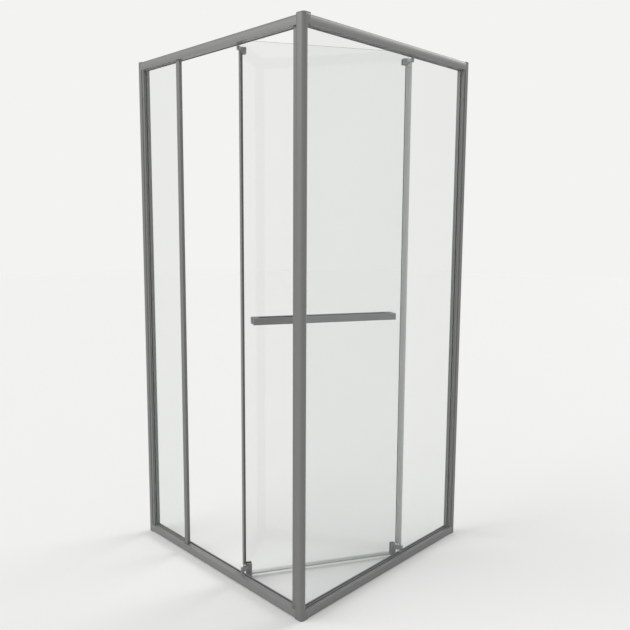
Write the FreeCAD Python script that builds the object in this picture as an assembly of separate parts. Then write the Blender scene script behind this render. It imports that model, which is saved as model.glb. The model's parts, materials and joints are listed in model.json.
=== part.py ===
import FreeCAD, Part
import math
import os

from FreeCAD import Vector

# A square corner shower enclosure. Lengths are in millimetres and +Z is up. The origin is at the
# floor under the middle of the square, and the corner post stands at (+half, -half). The left
# side runs from the post along -X and the right side runs from the post along +Y.
#
# Side pieces are laid out for the left side by three places: u is the distance from the outer
# corner along the side, v is the depth inwards from the outer face, and z is the height. The
# right side is the mirror image, and the foot of a side is its head turned over.
#
# Door pieces are laid out round the middle of the line between the two pivots: s runs along the
# door from its left pivot to its right pivot, y is the depth inwards, and z is the height.

# Overall sizes of the two framed sides
side_length = 875.0
frame_height = 1850.0
rail_size = 30.0
overrun = 5.0

# Rail extrusion: glass pocket at the outside, roller channel at the inside
rail_edge_radius = 7.0
rail_wall = 1.8
pocket_wall = 7.6
pocket_width = 8.8
pocket_depth = 15.0
channel_width = 10.4
channel_lip = 1.6
channel_slot = 5.8
chamber_inset = 13.2

# Corner post
post_radius = 12.0
post_shoulder = 16.0
post_pocket = 12.0
post_port_radius = 1.7
cap_thickness = 3.5
cap_plug = 1.6

# Wall profile and the adjusting profile that slides in it
wall_profile_depth = 17.0
wall_profile_wall = 1.6
adjusting_gap = 4.0
adjusting_depth = 25.0
adjusting_pocket = 11.0
wall_hole_radius = 2.75
wall_hole_inset = 150.0
wall_hole_rows = 4

# Mullion between the doorway and the narrow pane
narrow_side = 255.0
mullion_width = 20.0
mullion_face = 5.0
mullion_back = 16.8
mullion_pocket = 11.5
mullion_wall = 1.6
mullion_edge_radius = 2.0
plug_depth = 30.0

# Fixed glass and what holds it
glass_thickness = 6.0
pane_gap = 1.0
pane_wall_gap = 2.0
gasket_gap = 0.1
gasket_show = 1.5
setting_block_length = 60.0
setting_block_shares = (0.2, 0.8)

# Infill strips of the doorway; the one at the post stands out as the door's strike
infill_depth = 12.0
infill_show = 20.0
infill_edge_radius = 2.0

# Connectors and screws of the frame
fit_gap = 0.3
connector_arm = 60.0
screw_radius = 1.5
screw_head_radius = 2.9
screw_length = 8.0
screw_play = 0.05
end_connector_reach = 13.0
glazing_screw_place = 5.0
glazing_screw_rows = (137.0, 512.0)
glazing_cap_radius = 3.2
glazing_cap_thickness = 1.2

# Door: how its line of pivots lies, and its glass
closed_pivot_reach = 11.0
rest_angle = 61.0
door_offset = 20.0
door_glass_inset = 7.5
door_glass_foot = 12.0
door_glass_head_gap = 10.0

# Corner brackets of the door: small clamps above, tall ones below that reach down past the rail
bracket_rail_gap = 3.0
bracket_height = 20.0
bracket_length = 22.0
tall_clamp_inset = 12.0
tall_clamp_length = 18.5
tall_clamp_foot = 5.0
tall_clamp_head = 55.0
bracket_thickness = 5.0
bracket_edge_cut = 1.0
pad_thickness = 1.0
arm_root = 10.0
arm_gap = 4.0
arm_height = 12.0
tall_arm_height = 16.0
eye_radius = 5.0
eye_play = 0.05
bracket_screw_radius = 2.5
bracket_screw_head = 4.5
bracket_screw_head_height = 2.5
glass_hole_play = 2.5

# Edge seals of the door
seal_wall = 1.4
seal_grip = 10.0
seal_clear = 7.0
seal_end_gap = 1.0
seal_lip_reach = 25.0
seal_lip_thickness = 1.2
profile_wall = 1.5
profile_front = 8.0
profile_reach = 6.5
fin_root = 1.5
fin_reach = 8.5
fin_thickness = 1.6
fin_rail_gap = 4.0
bottom_seal_grip = 10.0
bottom_seal_drop = 8.0
bottom_seal_wall = 1.5
bottom_seal_lip = 2.0
bottom_seal_end_gap = 1.0

# Handle: one bar outside and one inside, joined through the glass
handle_end_gap = 45.0
handle_height = 23.0
handle_bar_depth = 10.0
handle_reach = 26.0
handle_level_share = 0.4986
handle_wall = 1.6
handle_edge_radius = 2.5
handle_cap_thickness = 2.0
handle_cap_plug = 5.0
handle_block_length = 25.0
handle_block_cut = 1.5
handle_bolt_radius = 3.0
handle_bolt_head = 5.0
handle_bolt_head_height = 2.5
handle_hole_radius = 6.0
handle_washer_radius = 8.5
handle_washer_thickness = 1.0

# Running gear: guide rollers above, castors below
roller_radius = 4.9
roller_height = 10.0
roller_lift = 4.0
roller_groove = 0.8
pin_radius = 2.0
pin_play = 0.05
pin_head_radius = 3.5
pin_head_height = 1.4
pin_collar_gap = 0.3
castor_wheel_radius = 8.0
castor_wheel_width = 5.0
castor_wheel_gap = 0.3
castor_wheel_round = 1.0
castor_cheek = 1.8
castor_cheek_round = 5.0
castor_half_length = 9.0
castor_plate_foot = 20.0
castor_plate_gap = 1.2
castor_foot_gap = 2.2
castor_stem_radius = 2.5
axle_radius = 1.5
buffer_play = 0.2
buffer_clearance = 0.5
pivot_stand_off = 42.5
stop_gap = 1.0
stop_length = 10.0

# How far two directions may differ and still count as one
straight_share = 0.001

# Places worked out from the sizes above
half_side = side_length / 2
track_depth = rail_size - rail_wall - channel_width / 2
rail_start = rail_size
rail_end = side_length - wall_profile_depth
head_foot = frame_height - rail_size
pocket_back = pocket_wall + pocket_width
channel_front = track_depth - channel_width / 2
channel_back = track_depth + channel_width / 2
glass_depth = pocket_wall + pocket_width / 2
glass_front = glass_depth - glass_thickness / 2
glass_back = glass_depth + glass_thickness / 2
adjusting_back = side_length - adjusting_gap
adjusting_front = adjusting_back - adjusting_depth
adjusting_floor = adjusting_front + adjusting_pocket
adjusting_face = wall_profile_wall + fit_gap
mullion_place = side_length - narrow_side
mullion_far = mullion_place + mullion_width
pane_foot = rail_size - pocket_depth + pane_gap
arm_front = pocket_wall + fit_gap
arm_back = pocket_back - rail_wall / 2
door_span = mullion_place + closed_pivot_reach - track_depth
half_span = door_span / 2
door_front = door_offset - glass_thickness / 2
door_back = door_offset + glass_thickness / 2
door_half_glass = half_span - door_glass_inset
door_glass_head = frame_height - door_glass_head_gap
bracket_foot = rail_size + bracket_rail_gap
bracket_end = half_span - seal_clear
bracket_face = door_front - pad_thickness - bracket_thickness
tall_clamp_end = bracket_end - tall_clamp_inset
bracket_screw_z = bracket_foot + bracket_height / 2
arm_foot = rail_size + arm_gap
edge_foot = arm_foot + tall_arm_height + seal_end_gap
edge_head = frame_height - bracket_foot - bracket_height - seal_end_gap
bottom_seal_end = tall_clamp_end - tall_clamp_length - bottom_seal_end_gap
handle_z = frame_height * handle_level_share
handle_outer = door_offset - handle_reach
handle_inner = door_offset + handle_reach
handle_length = door_span - 2 * handle_end_gap
handle_post_s = handle_length / 2 - handle_block_length / 2
roller_foot = head_foot + roller_lift
stop_place = track_depth + door_span + castor_half_length + stop_gap
castor_axle_z = rail_wall + castor_wheel_gap + castor_wheel_radius
corner_track = (half_side - track_depth, -half_side + track_depth)


def side_block(u, v, z):
    corner = Vector(half_side - u[1], v[0] - half_side, z[0])
    return Part.makeBox(u[1] - u[0], v[1] - v[0], z[1] - z[0], corner)


def side_rod(u, v, z, radius):
    foot = Vector(half_side - u, v - half_side, z[0])
    return Part.makeCylinder(radius, z[1] - z[0], foot)


def side_bolt(u, z, v, radius):
    start = Vector(half_side - u, v[0] - half_side, z)
    return Part.makeCylinder(radius, v[1] - v[0], start, Vector(0, 1, 0))


def side_prism(corners, z):
    """An upright prism whose corners in plan are given by u and v."""
    points = [Vector(half_side - u, v - half_side, z[0]) for u, v in corners]
    face = Part.Face(Part.makePolygon(points + points[:1]))
    return face.extrude(Vector(0, 0, z[1] - z[0]))


def door_block(s, y, z):
    return Part.makeBox(s[1] - s[0], y[1] - y[0], z[1] - z[0], Vector(s[0], y[0], z[0]))


def door_bolt(s, z, y, radius):
    return Part.makeCylinder(radius, y[1] - y[0], Vector(s, y[0], z), Vector(0, 1, 0))


def door_rod(s, y, z, radius):
    return Part.makeCylinder(radius, z[1] - z[0], Vector(s, y, z[0]))


def to_right(shape):
    """The same piece on the right side."""
    return shape.mirror(Vector(0, 0, 0), Vector(1, 1, 0))


def turned_over(shape):
    """The same piece at the other end of the height."""
    return shape.mirror(Vector(0, 0, frame_height / 2), Vector(0, 0, 1))


def other_end(shape):
    """The same piece at the other end of the door."""
    return shape.mirror(Vector(0, 0, 0), Vector(1, 0, 0))


def both_sides(shapes):
    return shapes + [to_right(shape) for shape in shapes]


def both_heights(shapes):
    return shapes + [turned_over(shape) for shape in shapes]


def both_ends(shapes):
    return shapes + [other_end(shape) for shape in shapes]


def hang(shape):
    """Stand a door piece in the rails at the door's rest angle."""
    lean = math.radians(rest_angle)
    x = corner_track[0] - half_span * math.cos(lean)
    y = corner_track[1] + half_span * math.sin(lean)
    placed = shape.copy()
    placed.rotate(Vector(0, 0, 0), Vector(0, 0, 1), rest_angle)
    placed.translate(Vector(x, y, 0))
    return placed


def nearest_edges(shape, places):
    """The edge of a shape whose middle lies nearest each place."""
    def picked(place):
        return min(shape.Edges, key=lambda edge: edge.CenterOfMass.distanceToPoint(place))
    return [picked(place) for place in places]


def rim_edges(disc):
    """The two round edges of a plain disc."""
    return [edge for edge in disc.Edges if len(edge.Vertexes) == 1]


def long_edges(shape, axis):
    """All straight edges that run along one axis."""
    found = []
    for edge in shape.Edges:
        ends = [vertex.Point for vertex in edge.Vertexes]
        if len(ends) == 2 and ends[1].sub(ends[0]).normalize().cross(axis).Length < straight_share:
            found.append(edge)
    return found


# Rails

def rail_blank():
    blank = side_block((rail_start, rail_end), (0, rail_size), (head_foot, frame_height))
    middle = Vector(half_side - (rail_start + rail_end) / 2, -half_side, frame_height)
    return blank.makeFillet(rail_edge_radius, nearest_edges(blank, [middle]))


def rail_pocket(length):
    foot = head_foot - overrun
    return side_block(length, (pocket_wall, pocket_back), (foot, head_foot + pocket_depth))


def rail_channel(length):
    z = (head_foot + channel_lip, frame_height - rail_wall)
    return side_block(length, (channel_front, channel_back), z)


def rail_slot(length):
    v = (track_depth - channel_slot / 2, track_depth + channel_slot / 2)
    return side_block(length, v, (head_foot - overrun, head_foot + pocket_depth))


def rail_chamber(length):
    v = (rail_wall, channel_front - rail_wall)
    top = frame_height - rail_wall
    chamber = side_block(length, v, (frame_height - chamber_inset, top))
    corner = Vector(half_side - (length[0] + length[1]) / 2, rail_wall - half_side, top)
    return chamber.makeFillet(rail_edge_radius - rail_wall, nearest_edges(chamber, [corner]))


def rail_front_chamber(length):
    v = (rail_wall, pocket_wall - rail_wall)
    z = (head_foot + rail_wall, frame_height - chamber_inset - rail_wall)
    return side_block(length, v, z)


def top_rail():
    length = (rail_start - overrun, rail_end + overrun)
    rail = rail_blank()
    hollows = (rail_pocket, rail_channel, rail_slot, rail_chamber, rail_front_chamber)
    for hollow in hollows:
        rail = rail.cut(hollow(length))
    for place in rail_screw_places():
        rail = rail.cut(rail_screw(place, screw_play))
    return rail


def rail_screw_places():
    return (rail_start + connector_arm / 4, rail_end - connector_arm / 4)


def rail_screw(place, play):
    """Countersunk screw, sunk flush in the top of a rail."""
    v = (arm_front + arm_back) / 2
    shank = side_rod(place, v, (frame_height - screw_length, frame_height), screw_radius + play)
    base = Vector(half_side - place, v - half_side, frame_height - rail_wall)
    head = Part.makeCone(screw_radius + play, screw_head_radius + play, rail_wall, base)
    return shank.fuse(head).removeSplitter()


# Corner post with its connectors and cap

def corner_square(z):
    square = side_block((0, rail_size), (0, rail_size), z)
    outer = Vector(half_side, -half_side, (z[0] + z[1]) / 2)
    return square.makeFillet(post_radius, nearest_edges(square, [outer]))


def post_pockets(z):
    u = (rail_size - post_pocket, rail_size + overrun)
    return both_sides([side_block(u, (pocket_wall, pocket_back), z)])


def post_shoulder_cut():
    """The wedge off the right face of the post that uncovers the edge of the right pane."""
    far = rail_size + overrun
    corners = [
        (post_shoulder - overrun, -overrun),
        (far, -overrun),
        (far, pocket_wall),
        (post_shoulder + pocket_wall, pocket_wall),
    ]
    return to_right(side_prism(corners, (rail_size, head_foot)))


def post_hub(z):
    edges = (pocket_wall, rail_size - post_pocket - rail_wall)
    return side_block(edges, edges, z)


def corner_port(z, radius):
    return side_rod(track_depth, track_depth, z, radius)


def corner_post():
    full = (-overrun, frame_height + overrun)
    post = corner_square((0, frame_height))
    for pocket in post_pockets(full):
        post = post.cut(pocket)
    post = post.cut(post_hub(full)).cut(post_shoulder_cut())
    post = post.cut(corner_port(full, post_port_radius + screw_play))
    opening = (pocket_wall, rail_size - post_pocket)
    end = side_block(opening, opening, (frame_height - chamber_inset, frame_height + overrun))
    return post.cut(end).cut(turned_over(end))


def corner_connector():
    z = (frame_height - chamber_inset + fit_gap, frame_height - rail_wall)
    arm = side_block((arm_front, rail_start + connector_arm / 2), (arm_front, arm_back), z)
    block = arm.fuse(to_right(arm)).removeSplitter()
    for cutter in both_sides([rail_screw(rail_screw_places()[0], screw_play)]):
        block = block.cut(cutter)
    return block


def end_connector():
    z = (frame_height - chamber_inset + fit_gap, frame_height - rail_wall)
    u = (rail_end - connector_arm / 2, rail_end + end_connector_reach)
    block = side_block(u, (arm_front, arm_back), z)
    return block.cut(rail_screw(rail_screw_places()[1], screw_play))


def corner_cap():
    cap = corner_square((frame_height, frame_height + cap_thickness))
    hub = post_hub((frame_height - cap_plug, frame_height))
    cap = cap.fuse(hub).removeSplitter()
    top = frame_height + cap_thickness
    cap = cap.cut(corner_port((frame_height - overrun, top + overrun), pin_radius + screw_play))
    seat = corner_port((top - pin_head_height, top + overrun), pin_head_radius + screw_play)
    return cap.cut(seat)


def corner_cap_screw():
    top = frame_height + cap_thickness
    head = corner_port((top - pin_head_height, top - fit_gap), pin_head_radius)
    neck = corner_port((frame_height, top - pin_head_height), pin_radius)
    shank = corner_port((frame_height - connector_arm / 2, frame_height), post_port_radius)
    return head.fuse(neck).fuse(shank).removeSplitter()


# Wall side

def wall_hole_heights():
    pitch = (frame_height - 2 * wall_hole_inset) / (wall_hole_rows - 1)
    return [wall_hole_inset + row * pitch for row in range(wall_hole_rows)]


def wall_profile():
    profile = side_block((rail_end, side_length), (0, rail_size), (0, frame_height))
    hollow_u = (rail_end - overrun, side_length - rail_wall)
    hollow_v = (wall_profile_wall, rail_size - wall_profile_wall)
    profile = profile.cut(side_block(hollow_u, hollow_v, (-overrun, frame_height + overrun)))
    for height in wall_hole_heights():
        start = Vector(-half_side - overrun, rail_size / 2 - half_side, height)
        hole = Part.makeCylinder(wall_hole_radius, 2 * overrun, start, Vector(1, 0, 0))
        profile = profile.cut(hole)
    return profile


def wall_profile_cap():
    u = (rail_end, side_length - rail_wall)
    v = (wall_profile_wall, rail_size - wall_profile_wall)
    return side_block(u, v, (frame_height - rail_wall, frame_height))


def adjusting_blank(z):
    v = (adjusting_face, rail_size - adjusting_face)
    return side_block((adjusting_front, adjusting_back), v, z)


def adjusting_profile():
    full = (0, frame_height)
    profile = adjusting_blank((rail_size, head_foot))
    pocket_u = (adjusting_front - overrun, adjusting_floor)
    pocket = side_block(pocket_u, (pocket_wall, pocket_back), full)
    inner_v = (adjusting_face + rail_wall, rail_size - adjusting_face - rail_wall)
    rear = side_block((adjusting_floor + rail_wall, adjusting_back - rail_wall), inner_v, full)
    side_u = (adjusting_front + rail_wall, adjusting_floor + rail_wall)
    side = side_block(side_u, (pocket_back + rail_wall, inner_v[1]), full)
    profile = profile.cut(pocket).cut(rear).cut(side)
    for screw in glazing_screws(screw_play):
        profile = profile.cut(screw)
    return profile


def glazing_screws(play):
    u = adjusting_front + glazing_screw_place
    v = (adjusting_face, pocket_wall)
    low = [side_bolt(u, height, v, screw_radius + play) for height in glazing_screw_rows]
    return both_heights(low)


def glazing_screw_caps():
    u = adjusting_front + glazing_screw_place
    v = (adjusting_face - glazing_cap_thickness, adjusting_face)
    low = [side_bolt(u, height, v, glazing_cap_radius) for height in glazing_screw_rows]
    return both_heights(low)


# Mullion

def mullion():
    z = (rail_size, head_foot)
    full = (0, frame_height)
    bar = side_block((mullion_place, mullion_far), (mullion_face, mullion_back), z)
    level = frame_height / 2
    front = mullion_face - half_side
    places = [Vector(half_side - u, front, level) for u in (mullion_place, mullion_far)]
    bar = bar.makeFillet(mullion_edge_radius, nearest_edges(bar, places))
    pocket_u = (mullion_far - mullion_pocket, mullion_far + overrun)
    pocket = side_block(pocket_u, (pane_slot_front(), pane_slot_back()), full)
    return bar.cut(pocket).cut(mullion_chamber(0, full))


def pane_slot_front():
    return glass_front - fit_gap


def pane_slot_back():
    return glass_back + fit_gap


def mullion_chamber(gap, z):
    u = (mullion_place + mullion_wall + gap, mullion_far - mullion_pocket - mullion_wall - gap)
    v = (pocket_wall + fit_gap + gap, mullion_back - mullion_wall - gap)
    return side_block(u, v, z)


def mullion_plug():
    z = (head_foot - plug_depth, head_foot + pocket_depth)
    return mullion_chamber(gasket_gap, z)


# Fixed glass

def pane(start, end):
    z = (pane_foot, frame_height - pane_foot)
    return side_block((start, end), (glass_front, glass_back), z)


def left_pane_edges():
    return (mullion_far - mullion_pocket + pane_gap, adjusting_floor - pane_wall_gap)


def right_pane_edges():
    return (rail_size - post_pocket + pane_wall_gap, adjusting_floor - pane_wall_gap)


def gasket(edges, opening, v):
    ring = side_block(edges, v, (pane_foot, frame_height - pane_foot))
    z = (rail_size + gasket_show, head_foot - gasket_show)
    window = side_block(opening, (v[0] - overrun, v[1] + overrun), z)
    return ring.cut(window)


def right_gaskets():
    far = adjusting_front - gasket_show
    front_opening = (post_shoulder + pocket_wall + gasket_show, far)
    back_opening = (rail_size + gasket_show, far)
    front = gasket(right_pane_edges(), front_opening, (pocket_wall + gasket_gap, glass_front))
    back = gasket(right_pane_edges(), back_opening, (glass_back, pocket_back - gasket_gap))
    return [to_right(front), to_right(back)]


def left_gaskets():
    edges = (mullion_far, left_pane_edges()[1])
    opening = (mullion_far - overrun, adjusting_front - gasket_show)
    front = (pocket_wall + gasket_gap, glass_front)
    back = (glass_back, pocket_back - gasket_gap)
    return [gasket(edges, opening, v) for v in (front, back)]


def setting_blocks(edges):
    pair = []
    for share in setting_block_shares:
        middle = edges[0] + (edges[1] - edges[0]) * share
        u = (middle - setting_block_length / 2, middle + setting_block_length / 2)
        z = (rail_size - pocket_depth, pane_foot)
        pair.append(side_block(u, (glass_front, glass_back), z))
    return pair


# Infill strips that close the unused pockets round the doorway

def infill_across():
    v = (pocket_wall + gasket_gap, pocket_back - gasket_gap)
    return side_block((rail_start, mullion_place), v, (head_foot, head_foot + infill_depth))


def infill_upright():
    u = (rail_size - post_pocket + fit_gap, rail_size + infill_show)
    v = (pocket_wall + gasket_gap, pocket_back - gasket_gap)
    strip = side_block(u, v, (rail_size, head_foot))
    ends = [Vector(half_side - u[1], depth - half_side, frame_height / 2) for depth in v]
    return strip.makeFillet(infill_edge_radius, nearest_edges(strip, ends))


# Buffers and stops in the roller channels

def channel_filler(u):
    v = (channel_front + buffer_play, channel_back - buffer_play)
    z = (head_foot + channel_lip, frame_height - rail_wall)
    return side_block(u, v, z)


def track_buffers():
    roller_stop = pivot_stand_off - roller_radius - buffer_clearance
    castor_stop = pivot_stand_off - castor_half_length - buffer_clearance
    head = channel_filler((rail_start, roller_stop))
    foot = turned_over(channel_filler((rail_start, castor_stop)))
    return both_sides([head, foot])


def track_stops():
    return both_sides(both_heights([channel_filler((stop_place, stop_place + stop_length))]))


# Door glass and its edge seals

def door_glass():
    s = (-door_half_glass, door_half_glass)
    glass = door_block(s, (door_front, door_back), (door_glass_foot, door_glass_head))
    through = (door_front - overrun, door_back + overrun)
    foot_hole = clamp_bolt(tall_clamp(), through, bracket_hole_radius())
    head_hole = turned_over(clamp_bolt(small_clamp(), through, bracket_hole_radius()))
    for hole in both_ends([foot_hole, head_hole]):
        glass = glass.cut(hole)
    for hole in both_ends([door_bolt(handle_post_s, handle_z, through, handle_hole_radius)]):
        glass = glass.cut(hole)
    return glass


def bracket_hole_radius():
    return bracket_screw_radius + glass_hole_play


def door_left_seal():
    z = (edge_foot, edge_head)
    edge = -door_half_glass
    grip = edge + seal_grip
    outer = door_block((edge - seal_wall, grip), (door_front - seal_wall, door_back + seal_wall), z)
    slot = door_block((edge, grip + overrun), (door_front, door_back), z)
    lip_s = (edge - seal_wall, edge - seal_wall + seal_lip_thickness)
    lip = door_block(lip_s, (door_offset - seal_lip_reach, door_front), z)
    return outer.cut(slot).fuse(lip).removeSplitter()


def door_right_profile():
    z = (edge_foot, edge_head)
    edge = door_half_glass
    s = (edge - profile_front, edge + profile_reach)
    outer = door_block(s, (door_front - profile_wall, door_back + profile_wall), z)
    slot = door_block((s[0] - overrun, edge), (door_front, door_back), z)
    half_fin = fin_thickness / 2
    groove_s = (s[1] - fin_root, s[1] + overrun)
    groove = door_block(groove_s, (door_offset - half_fin, door_offset + half_fin), z)
    return outer.cut(slot).cut(groove)


def door_right_fin():
    z = (rail_size + fin_rail_gap, head_foot - fin_rail_gap)
    start = door_half_glass + profile_reach - fin_root
    s = (start, start + fin_root + fin_reach)
    half_fin = fin_thickness / 2
    return door_block(s, (door_offset - half_fin, door_offset + half_fin), z)


def door_bottom_seal():
    s = (-bottom_seal_end, bottom_seal_end)
    foot = door_glass_foot - bottom_seal_drop
    top = door_glass_foot + bottom_seal_grip
    y = (door_front - bottom_seal_wall, door_back + bottom_seal_wall)
    body = door_block(s, y, (door_glass_foot - bottom_seal_wall, top))
    slot = door_block(s, (door_front, door_back), (door_glass_foot, top))
    lip = door_block(s, (y[0], y[0] + bottom_seal_lip), (foot, door_glass_foot))
    rear = door_block(s, (y[1] - bottom_seal_lip, y[1]), (foot, door_glass_foot))
    return body.cut(slot).fuse(lip).fuse(rear).removeSplitter()


# Corner brackets of the door

def small_clamp():
    """Reach along the door and height of an upper clamp, laid out at the foot."""
    s = (bracket_end - bracket_length, bracket_end)
    return s, (bracket_foot, bracket_foot + bracket_height)


def tall_clamp():
    """Reach along the door and height of a lower clamp."""
    return (tall_clamp_end - tall_clamp_length, tall_clamp_end), (tall_clamp_foot, tall_clamp_head)


def clamp_block(clamp, y):
    s, z = clamp
    block = door_block(s, y, z)
    return block.makeChamfer(bracket_edge_cut, long_edges(block, Vector(0, 1, 0)))


def clamp_bolt(clamp, y, radius):
    """A rod through the middle of a clamp's reach."""
    s, z = clamp
    return door_bolt((s[0] + s[1]) / 2, bracket_screw_z, y, radius)


def arm_outline(clamp):
    """Corners of the arm in plan: its root on the clamp, then the two tangent points of the eye."""
    clamp_end = clamp[0][1]
    root_y = bracket_face + bracket_thickness / 2
    root_s = clamp_end - arm_root / 2
    reach = math.hypot(half_span - root_s, root_y)
    side_s = eye_radius * root_y / reach
    side_y = eye_radius * (half_span - root_s) / reach
    return [
        (clamp_end - arm_root, root_y),
        (clamp_end, root_y),
        (half_span + side_s, side_y),
        (half_span - side_s, -side_y),
    ]


def bracket_arm(clamp, height):
    corners = [Vector(s, y, arm_foot) for s, y in arm_outline(clamp)]
    face = Part.Face(Part.makePolygon(corners + corners[:1]))
    arm = face.extrude(Vector(0, 0, height))
    return arm.fuse(door_rod(half_span, 0, (arm_foot, arm_foot + height), eye_radius))


def bracket_blank(clamp):
    return clamp_block(clamp, (bracket_face, door_front - pad_thickness))


def threaded(body, clamp):
    thread = (bracket_face + pad_thickness, door_front)
    return body.cut(clamp_bolt(clamp, thread, bracket_screw_radius + eye_play))


def drilled_arm(clamp, height, hole_radius):
    hole = door_rod(half_span, 0, (rail_size, arm_foot + 2 * height), hole_radius)
    return bracket_arm(clamp, height).cut(hole)


def lower_bracket_arm():
    """The loose arm of a lower bracket, set against its clamp."""
    arm = drilled_arm(tall_clamp(), tall_arm_height, castor_stem_radius + eye_play)
    return arm.cut(bracket_blank(tall_clamp()))


def upper_bracket():
    """Clamp and arm of an upper bracket, in one casting."""
    arm = drilled_arm(small_clamp(), arm_height, pin_radius + pin_play)
    body = bracket_blank(small_clamp()).fuse(arm).removeSplitter()
    return threaded(body, small_clamp())


def bracket_plate(clamp):
    y = (door_back + pad_thickness, door_back + pad_thickness + bracket_thickness)
    through = (door_back, y[1] + overrun)
    hole = clamp_bolt(clamp, through, bracket_screw_radius + eye_play)
    return clamp_block(clamp, y).cut(hole)


def bracket_pads(clamp):
    s, z = clamp
    pads = []
    for y in ((door_front - pad_thickness, door_front), (door_back, door_back + pad_thickness)):
        hole = clamp_bolt(clamp, (y[0] - overrun, y[1] + overrun), bracket_hole_radius())
        pads.append(door_block(s, y, (max(z[0], door_glass_foot), z[1])).cut(hole))
    return pads


def bracket_screw(clamp):
    seat = door_back + pad_thickness + bracket_thickness
    shank_y = (bracket_face + pad_thickness + gasket_gap, seat)
    shank = clamp_bolt(clamp, shank_y, bracket_screw_radius)
    head = clamp_bolt(clamp, (seat, seat + bracket_screw_head_height), bracket_screw_head)
    return shank.fuse(head).removeSplitter()


def at_clamps(maker):
    """The pieces that a maker gives at the two lower and the two upper clamps."""
    lower = maker(tall_clamp())
    upper = [turned_over(shape) for shape in maker(small_clamp())]
    return both_ends(lower + upper)


# Running gear

def top_roller():
    z = (roller_foot, roller_foot + roller_height)
    roller = door_rod(half_span, 0, z, roller_radius)
    roller = roller.makeChamfer(roller_groove, rim_edges(roller))
    bore = (z[0] - overrun, z[1] + overrun)
    return roller.cut(door_rod(half_span, 0, bore, pin_radius + pin_play))


def roller_pin():
    arm_top = frame_height - arm_foot
    arm_under = arm_top - arm_height
    roller_top = roller_foot + roller_height + pin_collar_gap
    collar_top = roller_foot - pin_collar_gap
    pin = door_rod(half_span, 0, (arm_under, roller_top), pin_radius)
    pin = pin.fuse(door_rod(half_span, 0, (arm_under - pin_head_height, arm_under), pin_head_radius))
    collar = door_rod(half_span, 0, (collar_top - pin_head_height / 2, collar_top), pin_head_radius)
    head = door_rod(half_span, 0, (roller_top, roller_top + pin_head_height), pin_head_radius)
    return pin.fuse(collar).fuse(head).removeSplitter()


def castor():
    """Fork and stem on the rail's centreline, with the wheel's axle along +Y."""
    half_width = castor_wheel_width / 2 + castor_wheel_gap
    outer = half_width + castor_cheek
    x = (-castor_half_length, castor_half_length)
    top = rail_size - channel_lip - castor_plate_gap
    plate = door_block(x, (-outer, outer), (castor_plate_foot, top))
    cheek_z = (rail_wall + castor_foot_gap, castor_plate_foot)
    cheek = door_block(x, (half_width, outer), cheek_z)
    cheek = cheek.makeFillet(castor_cheek_round, cheek_foot_edges(cheek))
    other = cheek.mirror(Vector(0, 0, 0), Vector(0, 1, 0))
    stem = door_rod(0, 0, (top, arm_foot + tall_arm_height), castor_stem_radius)
    body = plate.fuse(cheek).fuse(other).fuse(stem).removeSplitter()
    return body.cut(axle_rod((-outer - overrun, outer + overrun), axle_radius + pin_play))


def cheek_foot_edges(cheek):
    foot = cheek.BoundBox.ZMin
    chosen = long_edges(cheek, Vector(0, 1, 0))
    return [edge for edge in chosen if abs(edge.CenterOfMass.z - foot) < screw_play]


def axle_rod(y, radius):
    return Part.makeCylinder(radius, y[1] - y[0], Vector(0, y[0], castor_axle_z), Vector(0, 1, 0))


def castor_axle():
    outer = castor_wheel_width / 2 + castor_wheel_gap + castor_cheek
    return axle_rod((-outer, outer), axle_radius)


def castor_wheel():
    half_width = castor_wheel_width / 2
    wheel = axle_rod((-half_width, half_width), castor_wheel_radius)
    wheel = wheel.makeChamfer(castor_wheel_round, rim_edges(wheel))
    return wheel.cut(axle_rod((-castor_wheel_width, castor_wheel_width), axle_radius + pin_play))


def at_left_pivot(shape):
    placed = shape.copy()
    reach = door_span * math.cos(math.radians(rest_angle))
    placed.translate(Vector(corner_track[0] - reach, corner_track[1], 0))
    return placed


def at_right_pivot(shape):
    placed = shape.copy()
    placed.rotate(Vector(0, 0, 0), Vector(0, 0, 1), 90)
    reach = door_span * math.sin(math.radians(rest_angle))
    placed.translate(Vector(corner_track[0], corner_track[1] + reach, 0))
    return placed


# Handle

def handle_section(s, y, z):
    bar = door_block(s, y, z)
    return bar.makeFillet(handle_edge_radius, long_edges(bar, Vector(1, 0, 0)))


def handle_bar(near):
    """A tube along the door; near is the place of its face nearest the outside."""
    half = handle_length / 2 - handle_cap_thickness
    half_height = handle_height / 2
    z = (handle_z - half_height, handle_z + half_height)
    bar = handle_section((-half, half), (near, near + handle_bar_depth), z)
    inside_y = (near + handle_wall, near + handle_bar_depth - handle_wall)
    inside_z = (z[0] + handle_wall, z[1] - handle_wall)
    return bar.cut(door_block((-handle_length, handle_length), inside_y, inside_z))


def handle_bars():
    outer = handle_bar(handle_outer)
    inner = handle_bar(handle_inner - handle_bar_depth)
    through = (handle_outer + handle_bar_depth / 2, handle_inner - handle_bar_depth / 2)
    bolt_hole = door_bolt(handle_post_s, handle_z, through, handle_bolt_radius + eye_play)
    for hole in both_ends([bolt_hole]):
        outer = outer.cut(hole)
        inner = inner.cut(hole)
    return outer, inner


def handle_end_cap(near):
    half = handle_length / 2
    half_height = handle_height / 2
    z = (handle_z - half_height, handle_z + half_height)
    plate = handle_section((half - handle_cap_thickness, half), (near, near + handle_bar_depth), z)
    inset = handle_wall + gasket_gap
    plug_s = (half - handle_cap_thickness - handle_cap_plug, half - handle_cap_thickness)
    plug_y = (near + inset, near + handle_bar_depth - inset)
    plug = door_block(plug_s, plug_y, (z[0] + inset, z[1] - inset))
    return plate.fuse(plug).removeSplitter()


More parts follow.
